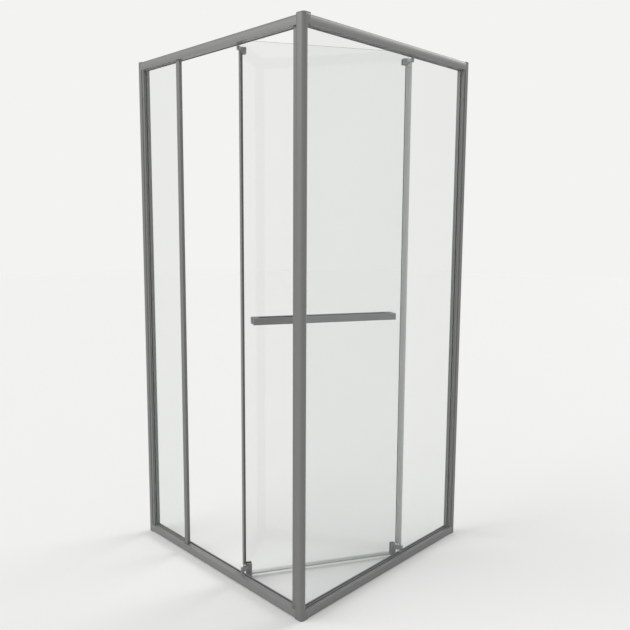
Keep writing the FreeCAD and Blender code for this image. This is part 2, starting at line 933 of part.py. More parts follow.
def handle_block(y):
    s = (handle_post_s - handle_block_length / 2, handle_post_s + handle_block_length / 2)
    half_height = handle_height / 2
    block = door_block(s, y, (handle_z - half_height, handle_z + half_height))
    block = block.makeChamfer(handle_block_cut, long_edges(block, Vector(0, 1, 0)))
    bore = (y[0] - overrun, y[1] + overrun)
    return block.cut(door_bolt(handle_post_s, handle_z, bore, handle_bolt_radius + eye_play))


def handle_blocks():
    outer = (handle_outer + handle_bar_depth, door_front - handle_washer_thickness)
    inner = (door_back + handle_washer_thickness, handle_inner - handle_bar_depth)
    return both_ends([handle_block(outer), handle_block(inner)])


def handle_washer(y):
    washer = door_bolt(handle_post_s, handle_z, y, handle_washer_radius)
    bore = (y[0] - overrun, y[1] + overrun)
    return washer.cut(door_bolt(handle_post_s, handle_z, bore, handle_bolt_radius + eye_play))


def handle_washers():
    outer = (door_front - handle_washer_thickness, door_front)
    inner = (door_back, door_back + handle_washer_thickness)
    return both_ends([handle_washer(outer), handle_washer(inner)])


def handle_bolt():
    seat = handle_outer + handle_bar_depth - handle_wall
    far = handle_inner - handle_bar_depth + handle_wall
    shank = door_bolt(handle_post_s, handle_z, (seat, far), handle_bolt_radius)
    head = door_bolt(handle_post_s, handle_z, (seat - handle_bolt_head_height, seat), handle_bolt_head)
    nut = door_bolt(handle_post_s, handle_z, (far, far + handle_bolt_head_height), handle_bolt_head)
    return shank.fuse(head).fuse(nut).removeSplitter()


# Nodes

def frame_nodes():
    rail = top_rail()
    profile = wall_profile()
    adjusting = adjusting_profile()
    start_screw, end_screw = [rail_screw(place, 0) for place in rail_screw_places()]
    blocks = setting_blocks(left_pane_edges())
    blocks += [to_right(block) for block in setting_blocks(right_pane_edges())]
    return {
        "corner_post": [corner_post()],
        "left_top_rail": [rail],
        "right_top_rail": [to_right(rail)],
        "left_bottom_rail": [turned_over(rail)],
        "right_bottom_rail": [to_right(turned_over(rail))],
        "left_wall_profile": [profile],
        "right_wall_profile": [to_right(profile)],
        "left_adjusting_profile": [adjusting],
        "right_adjusting_profile": [to_right(adjusting)],
        "corner_connectors": both_heights([corner_connector()]),
        "rail_end_connectors": both_sides(both_heights([end_connector()])),
        "corner_cap": [corner_cap()],
        "wall_profile_caps": both_sides([wall_profile_cap()]),
        "rail_screws": both_sides(both_heights([start_screw, end_screw])),
        "glazing_screws": both_sides(glazing_screws(0)),
        "glazing_screw_caps": both_sides(glazing_screw_caps()),
        "mullion": [mullion()],
        "mullion_plugs": both_heights([mullion_plug()]),
        "left_fixed_glass": [pane(*left_pane_edges())],
        "right_fixed_glass": [to_right(pane(*right_pane_edges()))],
        "left_glass_gaskets": left_gaskets(),
        "right_glass_gaskets": right_gaskets(),
        "setting_blocks": blocks,
        "doorway_infill_top": [infill_across()],
        "doorway_infill_bottom": [turned_over(infill_across())],
        "doorway_infill_post": [infill_upright()],
        "track_buffers": track_buffers(),
        "track_stops": track_stops(),
        "corner_cap_screw": [corner_cap_screw()],
    }


def door_nodes():
    lower = threaded(bracket_blank(tall_clamp()), tall_clamp())
    upper = turned_over(upper_bracket())
    outer_bar, inner_bar = handle_bars()
    near_caps = [handle_end_cap(handle_outer), handle_end_cap(handle_inner - handle_bar_depth)]
    return {
        "door_glass": [door_glass()],
        "door_left_seal": [door_left_seal()],
        "door_right_profile": [door_right_profile()],
        "door_right_fin": [door_right_fin()],
        "door_bottom_seal": [door_bottom_seal()],
        "bottom_right_bracket": [lower],
        "bottom_left_bracket": [other_end(lower)],
        "bracket_arms": both_ends([lower_bracket_arm()]),
        "top_right_bracket": [upper],
        "top_left_bracket": [other_end(upper)],
        "bracket_plates": at_clamps(lambda clamp: [bracket_plate(clamp)]),
        "bracket_pads": at_clamps(bracket_pads),
        "bracket_screws": at_clamps(lambda clamp: [bracket_screw(clamp)]),
        "top_roller_pins": both_ends([roller_pin()]),
        "top_right_roller": [top_roller()],
        "top_left_roller": [other_end(top_roller())],
        "handle_outer_bar": [outer_bar],
        "handle_inner_bar": [inner_bar],
        "handle_end_caps": both_ends(near_caps),
        "handle_blocks": handle_blocks(),
        "handle_washers": handle_washers(),
        "handle_bolts": both_ends([handle_bolt()]),
    }


def castor_nodes():
    pieces = {"castor": castor(), "castor_axle": castor_axle(), "castor_wheel": castor_wheel()}
    nodes = {}
    for name, shape in pieces.items():
        nodes["left_" + name] = [at_left_pivot(shape)]
        nodes["right_" + name] = [at_right_pivot(shape)]
    return nodes


def export(name, shapes):
    whole = shapes[0] if len(shapes) == 1 else Part.makeCompound(shapes)
    whole.exportStep(os.path.join("parts", name + ".step"))


def build():
    os.makedirs("parts", exist_ok=True)
    for name, shapes in frame_nodes().items():
        export(name, shapes)
    for name, shapes in door_nodes().items():
        export(name, [hang(shape) for shape in shapes])
    for name, shapes in castor_nodes().items():
        export(name, shapes)


build()
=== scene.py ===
import json
import math

import bmesh
import bpy
from mathutils import Matrix, Vector


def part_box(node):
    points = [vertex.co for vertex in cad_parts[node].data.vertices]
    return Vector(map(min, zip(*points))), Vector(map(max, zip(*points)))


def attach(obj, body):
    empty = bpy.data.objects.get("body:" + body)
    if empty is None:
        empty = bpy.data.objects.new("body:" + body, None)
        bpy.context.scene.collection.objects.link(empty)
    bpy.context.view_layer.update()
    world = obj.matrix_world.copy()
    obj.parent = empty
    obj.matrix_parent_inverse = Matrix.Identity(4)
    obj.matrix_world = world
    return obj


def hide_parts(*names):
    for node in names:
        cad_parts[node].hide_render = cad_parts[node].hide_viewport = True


bl_info = {
    "name": "Corner shower enclosure",
    "version": (1, 0, 0),
    "blender": (4, 5, 0),
    "location": "3D View > Sidebar > Shower",
    "description": "Dresses a framed corner shower enclosure: metal, glass, seals, fixings and a studio",
    "category": "Object",
}

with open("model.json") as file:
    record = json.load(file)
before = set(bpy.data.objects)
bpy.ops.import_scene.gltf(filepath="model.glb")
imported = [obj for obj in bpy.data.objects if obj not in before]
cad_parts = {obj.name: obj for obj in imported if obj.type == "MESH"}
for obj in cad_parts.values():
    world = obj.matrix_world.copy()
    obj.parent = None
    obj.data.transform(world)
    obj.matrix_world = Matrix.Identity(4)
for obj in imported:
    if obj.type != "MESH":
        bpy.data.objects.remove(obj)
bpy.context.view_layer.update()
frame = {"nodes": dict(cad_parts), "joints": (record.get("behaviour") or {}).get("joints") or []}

# Directions and lengths that the pieces share, in metres like every other length here
upright = Vector((0.0, 0.0, 1.0))
left_way = Vector((1.0, 0.0, 0.0))
right_way = Vector((0.0, 1.0, 0.0))
half_side = -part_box("left_wall_profile")[0].x
frame_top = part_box("left_top_rail")[1].z
rail_size = frame_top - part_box("left_top_rail")[0].z

# The door stands at a slant to the left side and turns about its middle
door_lean = math.radians(61.0)
door_along = Vector((math.cos(door_lean), math.sin(door_lean), 0.0))
door_inward = Vector((-math.sin(door_lean), math.cos(door_lean), 0.0))
door_middle = Vector(next(joint["pos_m"] for joint in frame["joints"] if joint["name"] == "door_turn"))
door_middle.z = 0.0

# The bottom seal: half its length, and its section across the door
seal_half_length = 0.2655
seal_middle = 0.020
seal_outer = 0.0044
seal_inner = 0.0031
seal_lip = 0.0049

# The bracket screws: how far they stand from the door's middle and from the ends of the frame
lower_screw_reach = 0.27575
upper_screw_reach = 0.286
bracket_screw_level = 0.043
plate_face = 0.029

# The rail screws: how far from the outside of the corner and from the wall, and how deep in the rail
screw_from_corner = 0.045
screw_from_wall = 0.032
screw_depth = (0.0079 + 0.0155) / 2
foot_gap = 0.00001

# The glazing caps: their levels from either end, their distance from the corner, the pocket's face
glazing_levels = (0.137, 0.512)
glazing_reach = 0.851
pocket_face = 0.0019

# The camera's place, its angles in degrees, its shift in widths of the picture, and the width of
# its sensor in millimetres
camera_place = (1.8178, -1.8218, 1.2678)
camera_turn = 45.656
camera_dip = -6.956
camera_roll = 0.11
camera_shift = (0.0333, -0.0243)
sensor_width = 36.0

# The way to each lamp and how wide it shines, in degrees
key_way = (-0.42, -0.72, 0.60)
key_spread = 50.0
back_way = (0.12, 0.77, 0.59)
back_spread = 30.0

# The backdrop is a little lighter than the floor's paint, so that the lit floor runs into it
backdrop_share = 1.045
floor_radius = 14.0

UPRIGHT_METAL = ("left_wall_profile", "right_wall_profile", "left_adjusting_profile",
                 "right_adjusting_profile", "mullion", "doorway_infill_post")
LEFT_METAL = ("left_bottom_rail", "doorway_infill_top", "doorway_infill_bottom")
SIDE_GLASS = {"left_fixed_glass": right_way, "right_fixed_glass": left_way}
BRACKETS = ("bottom_left_bracket", "bottom_right_bracket", "top_left_bracket", "top_right_bracket",
            "bracket_arms", "bracket_plates")
HANDLE_METAL = ("handle_outer_bar", "handle_inner_bar", "handle_end_caps", "handle_blocks")
GREY_PLASTIC = ("corner_cap", "wall_profile_caps")
DARK_PLASTIC = ("corner_connectors", "rail_end_connectors", "mullion_plugs", "track_stops")
GREY_RUBBER = ("left_glass_gaskets", "right_glass_gaskets")
DARK_RUBBER = ("track_buffers", "bracket_pads", "setting_blocks")
PALE_PLASTIC = ("left_castor", "right_castor", "left_castor_wheel", "right_castor_wheel",
                "top_left_roller", "top_right_roller")
PLAIN_STEEL = ("glazing_screws", "top_roller_pins", "handle_bolts", "left_castor_axle",
               "right_castor_axle")


# Shader building

# A Mix node gives its sockets for numbers and for colours the same names, so these go by number
MIX_FACTOR, MIX_FIRST, MIX_SECOND, MIX_RESULT = 0, 6, 7, 2


class Wire:
    """An output socket that writes Math nodes when it meets an arithmetic sign."""

    def __init__(self, graph, socket):
        self.graph = graph
        self.socket = socket

    def __add__(self, other):
        return self.graph.arithmetic("ADD", self, other)

    def __radd__(self, other):
        return self.graph.arithmetic("ADD", other, self)

    def __sub__(self, other):
        return self.graph.arithmetic("SUBTRACT", self, other)

    def __rsub__(self, other):
        return self.graph.arithmetic("SUBTRACT", other, self)

    def __mul__(self, other):
        return self.graph.arithmetic("MULTIPLY", self, other)

    def __rmul__(self, other):
        return self.graph.arithmetic("MULTIPLY", other, self)

    def __truediv__(self, other):
        return self.graph.arithmetic("DIVIDE", self, other)

    def __pow__(self, other):
        return self.graph.arithmetic("POWER", self, other)

    def __gt__(self, other):
        return self.graph.arithmetic("GREATER_THAN", self, other)

    def __abs__(self):
        return self.graph.arithmetic("ABSOLUTE", self)


class Graph:
    """The node tree of one new material or world."""

    def __init__(self, owner):
        self.owner = owner
        self.owner.use_nodes = True
        self.tree = self.owner.node_tree
        self.tree.nodes.clear()

    def node(self, kind, settings=None, values=None, output=0):
        """Adds any node. Settings are its own, values go to its inputs, a Wire as a link."""
        made = self.tree.nodes.new(kind)
        for name, value in (settings or {}).items():
            if name == "stops":
                self.set_stops(made.color_ramp, value)
            else:
                setattr(made, name, value)
        for name, value in (values or {}).items():
            if isinstance(value, Wire):
                self.tree.links.new(value.socket, made.inputs[name])
            else:
                made.inputs[name].default_value = value
        return Wire(self, made.outputs[output]) if made.outputs else None

    def set_stops(self, ramp, stops):
        while len(ramp.elements) < len(stops):
            ramp.elements.new(0.5)
        for element, (place, grey) in zip(ramp.elements, stops):
            element.position = place
            element.color = (grey, grey, grey, 1.0)

    def arithmetic(self, operation, *values):
        return self.node("ShaderNodeMath", {"operation": operation}, dict(enumerate(values)))

    def vector(self, operation, *values, output=0):
        return self.node("ShaderNodeVectorMath", {"operation": operation}, dict(enumerate(values)), output)

    def scaled(self, vector, scale):
        return self.node("ShaderNodeVectorMath", {"operation": "SCALE"}, {0: vector, "Scale": scale})

    def place(self):
        return self.node("ShaderNodeTexCoord", output="Object")

    def drawn(self, way, fine, coarse):
        """A place whose pattern is fine across a direction and long along it."""
        place = self.place()
        reach = self.vector("DOT_PRODUCT", place, tuple(way), output="Value")
        pull = self.scaled(tuple(way), reach * (coarse - fine))
        return self.vector("ADD", self.scaled(place, fine), pull)

    def noise(self, place, scale, detail=3.0, roughness=0.5):
        values = {"Vector": place, "Scale": scale, "Detail": detail, "Roughness": roughness}
        return self.node("ShaderNodeTexNoise", values=values)

    def between(self, factor, first, second):
        """Mixes two colours, each a Wire or three numbers."""
        first, second = (end if isinstance(end, Wire) else (*end, 1.0) for end in (first, second))
        values = {MIX_FACTOR: factor, MIX_FIRST: first, MIX_SECOND: second}
        return self.node("ShaderNodeMix", {"data_type": "RGBA"}, values, MIX_RESULT)

    def edge(self, reach):
        """One along the outer edges of a piece and nought on its flats."""
        flat = self.node("ShaderNodeNewGeometry", output="True Normal")
        soft = self.node("ShaderNodeBevel", {"samples": 6}, {"Radius": reach})
        alike = self.vector("DOT_PRODUCT", flat, soft, output="Value")
        stops = ((0.0, 1.0), (0.86, 1.0), (0.99, 0.0))
        return self.node("ShaderNodeValToRGB", {"stops": stops}, {0: alike})

    def bump(self, height, strength, distance, over=None):
        values = {"Height": height, "Strength": strength, "Distance": distance}
        if over is not None:
            values["Normal"] = over
        return self.node("ShaderNodeBump", values=values)

    def finish(self, shader, kind="ShaderNodeOutputMaterial"):
        self.node(kind, values={"Surface": shader})
        return self.owner


def shaded(colour, share):
    return tuple(part * share for part in colour)


# Materials

def round_front(graph):
    """A normal that turns softly round the long corners of the post."""
    return graph.node("ShaderNodeBevel", {"samples": 8}, {"Radius": 0.010})


def domed_head(graph):
    """A normal that leans upwards more and more towards the top of a head rail."""
    most = 0.6
    height = graph.node("ShaderNodeSeparateXYZ", values={0: graph.place()}, output="Z")
    rise = (height - (frame_top - rail_size)) / rail_size
    lean = graph.node("ShaderNodeCombineXYZ", values={"Z": rise ** 2 * most})
    flat = graph.node("ShaderNodeNewGeometry", output="Normal")
    return graph.vector("NORMALIZE", graph.vector("ADD", flat, lean))


def drawn_metal(name, colour, roughness, metallic, way, form=None):
    """Satin anodised aluminium with the faint lines that the die leaves along the length.

    The edges are painted lighter: a painted highlight along them, partly rubbed wear as well. A form, where
    there is one, gives the normal under the lines.
    """
    graph = Graph(bpy.data.materials.new(name))
    lines = graph.noise(graph.drawn(way, fine=900.0, coarse=1.5), scale=1.0, detail=4.0, roughness=0.6)
    cloud = graph.noise(graph.place(), scale=7.0, detail=4.0, roughness=0.6)
    speck = graph.noise(graph.place(), scale=2600.0, detail=1.0)
    body = graph.between(cloud * 0.7 + lines * 0.3, shaded(colour, 0.93), shaded(colour, 1.07))
    # Painted highlight: the colour runs lighter along the edges, partly standing for rubbed wear
    tone = graph.between(graph.edge(0.0016) * 0.55, body, shaded(colour, 2.0))
    rough = lines * 0.10 + cloud * 0.06 + (roughness - 0.08)
    under = form(graph) if form else None
    normal = graph.bump(lines * 0.7 + speck * 0.3, strength=0.07, distance=0.0002, over=under)
    shader = graph.node("ShaderNodeBsdfPrincipled", values={
        "Base Color": tone, "Metallic": metallic, "Roughness": rough, "Normal": normal,
    })
    return graph.finish(shader)


def fine_metal(name, colour, roughness, metallic, way):
    """Smooth metal of the fittings, with faint grinding lines and hand smears."""
    graph = Graph(bpy.data.materials.new(name))
    lines = graph.noise(graph.drawn(way, fine=1500.0, coarse=30.0), scale=1.0, roughness=0.6)
    smear = graph.noise(graph.place(), scale=40.0, detail=4.0, roughness=0.65)
    shader = graph.node("ShaderNodeBsdfPrincipled", values={
        "Base Color": graph.between(smear, shaded(colour, 0.92), shaded(colour, 1.08)),
        "Metallic": metallic,
        "Roughness": smear * 0.10 + lines * 0.05 + (roughness - 0.07),
        "Normal": graph.bump(lines, strength=0.05, distance=0.0001),
    })
    return graph.finish(shader)


def moulded(name, colour, roughness, grain, specular):
    """Moulded plastic or rubber with a fine pebbled skin."""
    graph = Graph(bpy.data.materials.new(name))
    pebble = graph.noise(graph.place(), scale=grain, detail=2.0, roughness=0.6)
    cloud = graph.noise(graph.place(), scale=25.0)
    shader = graph.node("ShaderNodeBsdfPrincipled", values={
        "Base Color": graph.between(cloud, shaded(colour, 0.9), shaded(colour, 1.1)),
        "Roughness": pebble * 0.16 + (roughness - 0.08),
        "Specular IOR Level": specular,
        "Normal": graph.bump(pebble, strength=0.25, distance=0.0003),
    })
    return graph.finish(shader)


def clear_plastic(name, colour, cover, roughness):
    """Soft clear plastic that turns milky where it is seen edge on."""
    graph = Graph(bpy.data.materials.new(name))
    slant = graph.node("ShaderNodeLayerWeight", values={"Blend": 0.35}, output="Facing")
    streak = graph.noise(graph.drawn(upright, fine=300.0, coarse=12.0), scale=1.0)
    shader = graph.node("ShaderNodeBsdfPrincipled", values={
        "Base Color": graph.between(streak, shaded(colour, 0.94), shaded(colour, 1.04)),
        "Roughness": streak * 0.12 + (roughness - 0.06),
        "Alpha": slant * (1.0 - cover) + cover,
    })
    return graph.finish(shader)


def clear_glass(name, face_colour, edge_colour, cover, facing):
    """Float glass: thin and clear on its faces, green on its polished edges."""
    edge_cover = 0.72
    graph = Graph(bpy.data.materials.new(name))
    normal = graph.node("ShaderNodeNewGeometry", output="True Normal")
    face = abs(graph.vector("DOT_PRODUCT", normal, tuple(facing), output="Value")) > 0.5
    slant = graph.node("ShaderNodeLayerWeight", values={"Blend": 0.5}, output="Facing") ** 5
    haze = graph.noise(graph.place(), scale=3.0, detail=4.0, roughness=0.6)
    clear = slant * 0.9 + haze * 0.03 + (cover - 0.015)
    shader = graph.node("ShaderNodeBsdfPrincipled", values={
        "Base Color": graph.between(face, edge_colour, face_colour),
        "Metallic": face * 0.85,
        "Roughness": haze * 0.02 + 0.02,
        "Alpha": face * clear + (1 - face) * edge_cover,
    })
    return graph.finish(shader)


def paint(nodes, material):
    for node in nodes:
        slots = frame["nodes"][node].data.materials
        slots.clear()
        slots.append(material)


# Mesh building

def new_piece(name, mesh, material, body):
    piece = bpy.data.objects.new(name, mesh)
    bpy.context.scene.collection.objects.link(piece)
    mesh.materials.append(material)
    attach(piece, body)
    return piece


def ring_stack(work, rings, count, matrix):
    """Adds a closed form made of rings, each a height and the radius at an angle."""
    rows = []
    for height, radius_at in rings:
        row = []
        for step in range(count):
            angle = math.tau * step / count
            reach = radius_at(angle)
            place = Vector((reach * math.cos(angle), reach * math.sin(angle), height))
            row.append(work.verts.new(matrix @ place))
        rows.append(row)
    close_rows(work, rows)


def close_rows(work, rows):
    """Joins rows of as many points each, and shuts the first and the last."""
    count = len(rows[0])
    for low, high in zip(rows, rows[1:]):
        for step in range(count):
            after = (step + 1) % count
            work.faces.new((low[step], low[after], high[after], high[step]))
    work.faces.new(list(reversed(rows[0])))
    work.faces.new(rows[-1])


def round_at(radius):
    return lambda angle: radius


def hexagon_at(reach):
    return lambda angle: reach / math.cos((angle % (math.pi / 3)) - math.pi / 6)


def cross_at(reach, width):
    def radius(angle):
        turn = (angle + math.pi / 4) % (math.pi / 2) - math.pi / 4
        return min(reach / math.cos(turn), width / 2 / max(abs(math.sin(turn)), 0.001))
    return radius


def faced(place, way):
    """A frame at a place whose Z runs along a direction."""
    return Matrix.Translation(place) @ way.to_track_quat("Z", "Y").to_matrix().to_4x4()


def closed_mesh(name, work, smooth_angle=math.radians(35.0)):
    """Turns the work into a mesh, smooth but for its sharp edges."""
    bmesh.ops.recalc_face_normals(work, faces=work.faces[:])
    for face in work.faces:
        face.smooth = True
    for edge in work.edges:
        if edge.calc_face_angle(0.0) > smooth_angle:
            edge.smooth = False
    mesh = bpy.data.meshes.new(name)
    work.to_mesh(mesh)
    work.free()
    return mesh


def door_place(s, y, z):
    """A place from its reach along the door, its depth through it and its height."""
    return door_middle + door_along * s + door_inward * y + upright * z


def mirrored(place):
    """The like place on the other side of the corner."""
    return Vector((-place.y, -place.x, place.z))


def swept(name, outline, start, end):
    """A section of (depth, height) points drawn along the door."""
    work = bmesh.new()
    close_rows(work, [[work.verts.new(door_place(s, y, z)) for y, z in outline] for s in (start, end)])
    return closed_mesh(name, work)


# Sections of the small pieces

def seal_outline(top, web, foot):
    """Half of the seal's section, from its outer grip down to the lip, then the other half."""
    one = [
        (-seal_outer + 0.0004, top), (-seal_outer, top - 0.001), (-seal_outer, web),
        (-seal_lip + 0.0012, web - 0.003), (-seal_lip, web - 0.0055), (-seal_lip, foot),
        (-seal_lip + 0.0009, foot), (-seal_lip + 0.0010, web - 0.0052),
        (-seal_inner + 0.0006, web - 0.0014),
    ]
    other = [(-y, z) for y, z in reversed(one)]
    grip = [(seal_inner, top), (seal_inner, web), (-seal_inner, web), (-seal_inner, top)]
    return [(seal_middle + y, z) for y, z in one + other + grip]


def socket_screw_rings(head):
    """A screw from the tip of its shank over its domed head into its hexagon socket."""
    tip, shank, socket = 0.0021, 0.0025, 0.0015
    return [
        (-0.0168, round_at(tip)), (-0.0164, round_at(shank)), (0.0, round_at(shank)),
        (0.0, round_at(head)), (0.0006, round_at(head)), (0.0013, round_at(head * 0.93)),
        (0.0019, round_at(head * 0.78)), (0.0023, round_at(head * 0.62)),
        (0.0023, hexagon_at(socket)), (0.0008, hexagon_at(socket)),
    ]


def countersunk_screw_rings():
    """A screw from its tip to the rim of its sunk head and down into its cross slot."""
    tip, shank = 0.0012, 0.0015
    return [
        (-0.008, round_at(tip)), (-0.0076, round_at(shank)), (-0.0018, round_at(shank)),
        (-0.0001, round_at(0.00285)), (0.0, round_at(0.0027)),
        (0.0, cross_at(0.0015, 0.0008)), (-0.0009, cross_at(0.0010, 0.0006)),
    ]


def cap_screw_rings(length):
    """A screw from its tip through the cap to its flat head and down into its cross slot."""
    tip, shank, neck, head = 0.0013, 0.0017, 0.002, 0.0035
    return [
        (-length, round_at(tip)), (-length + 0.0006, round_at(shank)), (-0.0046, round_at(shank)),
        (-0.0046, round_at(neck)), (-0.0012, round_at(neck)), (-0.0012, round_at(head)),
        (-0.0004, round_at(head)), (0.0, round_at(0.003)),
        (0.0, cross_at(0.0018, 0.0009)), (-0.0008, cross_at(0.0012, 0.0007)),
    ]


def domed_cap_rings(reach):
    return [
        (0.0, round_at(reach)), (0.0003, round_at(reach)), (0.0008, round_at(reach * 0.86)),
        (0.0011, round_at(reach * 0.6)), (0.0012, round_at(reach * 0.3)),
    ]


# Settings

class ShowerFrameSettings(bpy.types.PropertyGroup):
    """The finish of the frame's extrusions and caps."""
    metal_colour: bpy.props.FloatVectorProperty(
        name="Metal colour", description="Colour of the anodised extrusions",
        subtype="COLOR", size=3, default=(0.218, 0.219, 0.215), min=0.0, max=1.0)
    metal_roughness: bpy.props.FloatProperty(
        name="Metal roughness", description="How satin the extrusions are",
        default=0.42, min=0.0, max=1.0, subtype="FACTOR")
    metal_share: bpy.props.FloatProperty(
        name="Metallic", description="How much the finish mirrors like bare metal",
        default=0.3, min=0.0, max=1.0, subtype="FACTOR")
    # Painted shade: the uprights, the corner post and the head rails take the metal colour at this share, a
    # darker copy of the foot rails' finish that stands for the shade they fall in
    upright_painted_shade: bpy.props.FloatProperty(
        name="Upright tone", description="Tone of the uprights and head rails against the foot rails",
        default=0.84, min=0.0, max=2.0, subtype="FACTOR")
    cap_colour: bpy.props.FloatVectorProperty(
        name="Cap colour", description="Colour of the moulded caps on the uprights",
        subtype="COLOR", size=3, default=(0.20, 0.20, 0.195), min=0.0, max=1.0)


class ShowerGlassSettings(bpy.types.PropertyGroup):
    """The clear glass and what holds it."""
    face_colour: bpy.props.FloatVectorProperty(
        name="Face colour", description="Tint of what the glass mirrors",
        subtype="COLOR", size=3, default=(0.42, 0.50, 0.46), min=0.0, max=1.0)
    edge_colour: bpy.props.FloatVectorProperty(
        name="Edge colour", description="Colour of the polished edges",
        subtype="COLOR", size=3, default=(0.20, 0.30, 0.26), min=0.0, max=1.0)
    cover: bpy.props.FloatProperty(
        name="Cover", description="How much of the view each face of the glass takes",
        default=0.07, min=0.0, max=1.0, subtype="FACTOR")
    gasket_colour: bpy.props.FloatVectorProperty(
        name="Gasket colour", description="Colour of the glazing rubber",
        subtype="COLOR", size=3, default=(0.36, 0.36, 0.355), min=0.0, max=1.0)


class ShowerDoorSettings(bpy.types.PropertyGroup):
    """The seals on the edges of the door."""
    seal_colour: bpy.props.FloatVectorProperty(
        name="Left seal colour", description="Colour of the dark seal on the door's left edge",
        subtype="COLOR", size=3, default=(0.175, 0.174, 0.172), min=0.0, max=1.0)
    strip_colour: bpy.props.FloatVectorProperty(
        name="Right strip colour", description="Colour of the metal strip on the door's right edge",
        subtype="COLOR", size=3, default=(0.42, 0.42, 0.42), min=0.0, max=1.0)
    clear_colour: bpy.props.FloatVectorProperty(
        name="Clear seal colour", description="Colour of the translucent seals",
        subtype="COLOR", size=3, default=(0.52, 0.53, 0.52), min=0.0, max=1.0)
    lip_drop: bpy.props.FloatProperty(
        name="Lip drop", description="How far the bottom seal reaches under the glass",
        default=0.0079, min=0.001, max=0.008, unit="LENGTH")


class ShowerFittingSettings(bpy.types.PropertyGroup):
    """Brackets, handle, running gear and screws."""
    bracket_colour: bpy.props.FloatVectorProperty(
        name="Bracket colour", description="Colour of the door's corner brackets",
        subtype="COLOR", size=3, default=(0.29, 0.29, 0.288), min=0.0, max=1.0)
    handle_colour: bpy.props.FloatVectorProperty(
        name="Handle colour", description="Colour of the two bars and their blocks",
        subtype="COLOR", size=3, default=(0.22, 0.22, 0.218), min=0.0, max=1.0)
    steel_colour: bpy.props.FloatVectorProperty(
        name="Steel colour", description="Colour of the screws and pins",
        subtype="COLOR", size=3, default=(0.55, 0.55, 0.54), min=0.0, max=1.0)
    screw_head: bpy.props.FloatProperty(
        name="Screw head", description="Radius of the bracket screws' heads",
        default=0.0045, min=0.002, max=0.006, unit="LENGTH")
    cap_radius: bpy.props.FloatProperty(
        name="Cap radius", description="Radius of the caps over the glazing screws",
        default=0.0032, min=0.002, max=0.006, unit="LENGTH")


class ShowerStageSettings(bpy.types.PropertyGroup):
    """Floor, light and camera."""
    floor_colour: bpy.props.FloatVectorProperty(
        name="Floor colour", description="Colour of the plain floor",
        subtype="COLOR", size=3, default=(0.86, 0.86, 0.85), min=0.0, max=1.0)
    sky_strength: bpy.props.FloatProperty(
        name="Soft light", description="Strength of the light from all round",
        default=0.60, min=0.0, max=3.0)
    key_strength: bpy.props.FloatProperty(
        name="Key light", description="Strength of the soft key light from the left",
        default=1.28, min=0.0, max=20.0)
    back_strength: bpy.props.FloatProperty(
        name="Back light", description="Strength of the soft light from behind and above",
        default=1.0, min=0.0, max=20.0)
    lens: bpy.props.FloatProperty(
        name="Lens", description="Focal length of the camera in millimetres",
        default=37.845, min=10.0, max=200.0)


# Pieces

class SHOWER_OT_frame_metal(bpy.types.Operator):
    """Give the rails, post, wall profiles and mullion their satin metal."""
    bl_idname = "shower.frame_metal"
    bl_label = "Frame metal"

    def execute(self, context):
        look = context.scene.shower_frame
        finish = (tuple(look.metal_colour), look.metal_roughness, look.metal_share)
        # Painted shade: the corner post, the uprights and the head rails get a darker copy of the same
        # metal
        painted_shade_finish = (shaded(look.metal_colour, look.upright_painted_shade), *finish[1:])
        paint(("corner_post",), drawn_metal("satin_metal_post_painted_shade", *painted_shade_finish, upright, round_front))
        paint(UPRIGHT_METAL, drawn_metal("satin_metal_upright_painted_shade", *painted_shade_finish, upright))
        paint(("left_top_rail",), drawn_metal("satin_metal_left_head_painted_shade", *painted_shade_finish, left_way, domed_head))
        paint(("right_top_rail",), drawn_metal("satin_metal_right_head_painted_shade", *painted_shade_finish, right_way, domed_head))
        paint(LEFT_METAL, drawn_metal("satin_metal_left", *finish, left_way))
        paint(("right_bottom_rail",), drawn_metal("satin_metal_right", *finish, right_way))
        return {"FINISHED"}


class SHOWER_OT_frame_plastics(bpy.types.Operator):
    """Give the caps, connectors and stops of the frame their plastics."""
    bl_idname = "shower.frame_plastics"
    bl_label = "Frame plastics"

    def execute(self, context):
        look = context.scene.shower_frame
        paint(GREY_PLASTIC, moulded(
            "grey_cap_plastic", tuple(look.cap_colour), roughness=0.45, grain=900.0, specular=0.5))
        paint(DARK_PLASTIC, moulded(
            "dark_connector_plastic", (0.05, 0.05, 0.05), roughness=0.55, grain=700.0, specular=0.4))
        return {"FINISHED"}


class SHOWER_OT_glass(bpy.types.Operator):
    """Glaze the two fixed panes and the door, and fit the rubber round them."""
    bl_idname = "shower.glass"
    bl_label = "Glass and gaskets"

    def execute(self, context):
        look = context.scene.shower_glass
        finish = (tuple(look.face_colour), tuple(look.edge_colour), look.cover)
        for node, facing in SIDE_GLASS.items():
            paint((node,), clear_glass("clear_glass_" + node, *finish, facing))
        paint(("door_glass",), clear_glass("clear_glass_door", *finish, door_inward))
        paint(GREY_RUBBER, moulded(
            "glazing_rubber", tuple(look.gasket_colour), roughness=0.62, grain=1200.0, specular=0.3))
        paint(DARK_RUBBER, moulded(
            "buffer_rubber", (0.09, 0.09, 0.09), roughness=0.62, grain=1200.0, specular=0.3))
        return {"FINISHED"}


class SHOWER_OT_door_edges(bpy.types.Operator):
    """Finish the seal, the strip and the fin on the upright edges of the door."""
    bl_idname = "shower.door_edges"
    bl_label = "Door edges"

    def execute(self, context):
        look = context.scene.shower_door
        paint(("door_left_seal",), moulded(
            "dark_seal_rubber", tuple(look.seal_colour), roughness=0.5, grain=1500.0, specular=0.35))
        paint(("door_right_profile",), drawn_metal(
            "strip_metal", tuple(look.strip_colour), roughness=0.38, metallic=0.5, way=upright))
        paint(("door_right_fin", "handle_washers"), clear_plastic(
            "clear_seal_plastic", tuple(look.clear_colour), cover=0.55, roughness=0.3))
        return {"FINISHED"}


